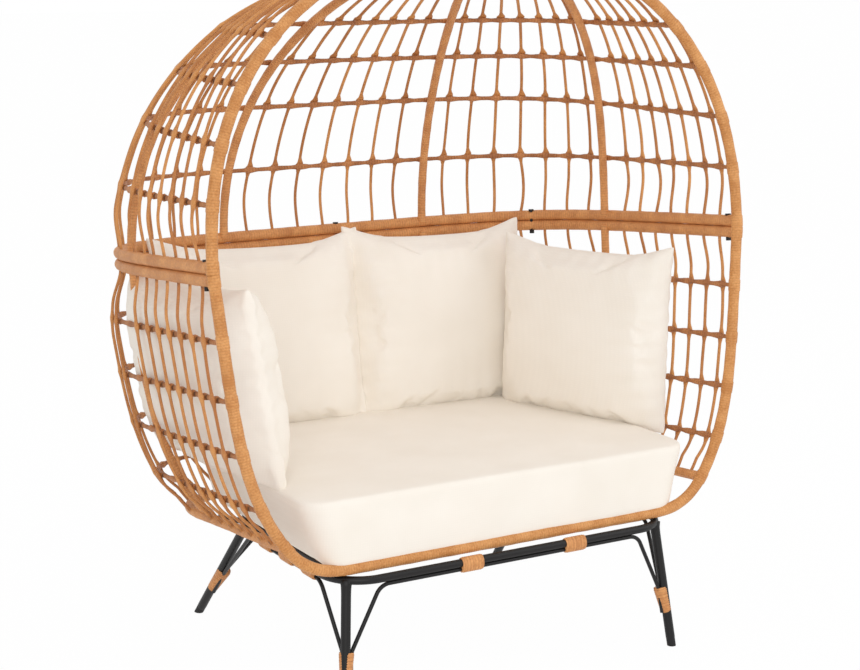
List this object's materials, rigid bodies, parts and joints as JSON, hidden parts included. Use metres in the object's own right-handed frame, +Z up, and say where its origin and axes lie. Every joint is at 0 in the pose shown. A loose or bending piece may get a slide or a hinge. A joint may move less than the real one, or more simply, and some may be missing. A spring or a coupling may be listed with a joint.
{
  "type": "nest chair",
  "caption": "Two-seat nest chair: rattan-look egg-shaped cage in bolted halves on a black splayed-leg base, with a box seat cushion and loose pillows.",
  "frame": {"origin": "on the floor under the middle of the chair's width and depth", "axes": "+Z up, +X to the right as seen from the front, -Y towards the front opening"},
  "size_m": [1.2002, 0.8353, 1.4178],
  "materials": {
    "rattan": "woven rattan-look resin over tube",
    "black_steel": "black powder coat",
    "black_fastener": "black oxide",
    "foot_rubber": "matte black",
    "cushion_fabric": "cream woven cloth",
    "cushion_fill": "white foam and fibre"
  },
  "bodies": {
    "frame": {"base_ring": "black_steel", "basket_struts": "black_steel", "bottom_rail": "rattan", "brace_back": "black_steel", "brace_front": "black_steel", "brace_left": "black_steel", "brace_right": "black_steel", "crown_ring": "rattan", "deck_bolts": "black_fastener", "foot_caps": "foot_rubber", "front_arch": "rattan", "leg_back_left": "black_steel", "leg_back_right": "black_steel", "leg_front_left": "black_steel", "leg_front_right": "black_steel", "leg_wraps": "rattan", "lower_band_1": "rattan", "lower_band_2": "rattan", "lower_band_3": "rattan", "lower_band_4": "rattan", "lower_front_hoop": "rattan", "lower_rib_left_back": "rattan", "lower_rib_left_side": "rattan", "lower_rib_right_back": "rattan", "lower_rib_right_side": "rattan", "lower_seam_rail": "rattan", "lower_strands_back": "rattan", "lower_strands_left_back": "rattan", "lower_strands_left_side": "rattan", "lower_strands_right_back": "rattan", "lower_strands_right_side": "rattan", "ring_ties": "rattan", "seam_bolts": "black_fastener", "seam_nuts": "black_fastener", "seat_frame": "black_steel", "seat_slats": "rattan", "upper_band_1": "rattan", "upper_band_2": "rattan", "upper_band_3": "rattan", "upper_band_4": "rattan", "upper_rib_left_back": "rattan", "upper_rib_left_side": "rattan", "upper_rib_right_back": "rattan", "upper_rib_right_side": "rattan", "upper_seam_rail": "rattan", "upper_strands_back": "rattan", "upper_strands_left_back": "rattan", "upper_strands_left_side": "rattan", "upper_strands_right_back": "rattan", "upper_strands_right_side": "rattan"},
    "seat": {"seat_cushion_cover": "cushion_fabric", "seat_cushion_foam": "cushion_fill"},
    "back_pillow_left": {"back_pillow_left_cover": "cushion_fabric", "back_pillow_left_fill": "cushion_fill"},
    "back_pillow_right": {"back_pillow_right_cover": "cushion_fabric", "back_pillow_right_fill": "cushion_fill"},
    "side_pillow_left": {"side_pillow_left_cover": "cushion_fabric", "side_pillow_left_fill": "cushion_fill"},
    "side_pillow_right": {"side_pillow_right_cover": "cushion_fabric", "side_pillow_right_fill": "cushion_fill"}
  },
  "joints": [
    {"name": "seat_slide", "type": "slide", "parent": "frame", "child": "seat", "axis": [0, -1, 0], "range_m": [0, 0.6]},
    {"name": "back_pillow_left_lift", "type": "slide", "parent": "seat", "child": "back_pillow_left", "axis": [0, 0.156, 0.9878], "range_m": [0, 0.25]},
    {"name": "back_pillow_right_lift", "type": "slide", "parent": "seat", "child": "back_pillow_right", "axis": [0, 0.156, 0.9878], "range_m": [0, 0.25]},
    {"name": "side_pillow_left_lift", "type": "slide", "parent": "seat", "child": "side_pillow_left", "axis": [0, -0.8, 0.6], "range_m": [0, 0.35]},
    {"name": "side_pillow_right_lift", "type": "slide", "parent": "seat", "child": "side_pillow_right", "axis": [0, -0.8, 0.6], "range_m": [0, 0.35]}
  ]
}
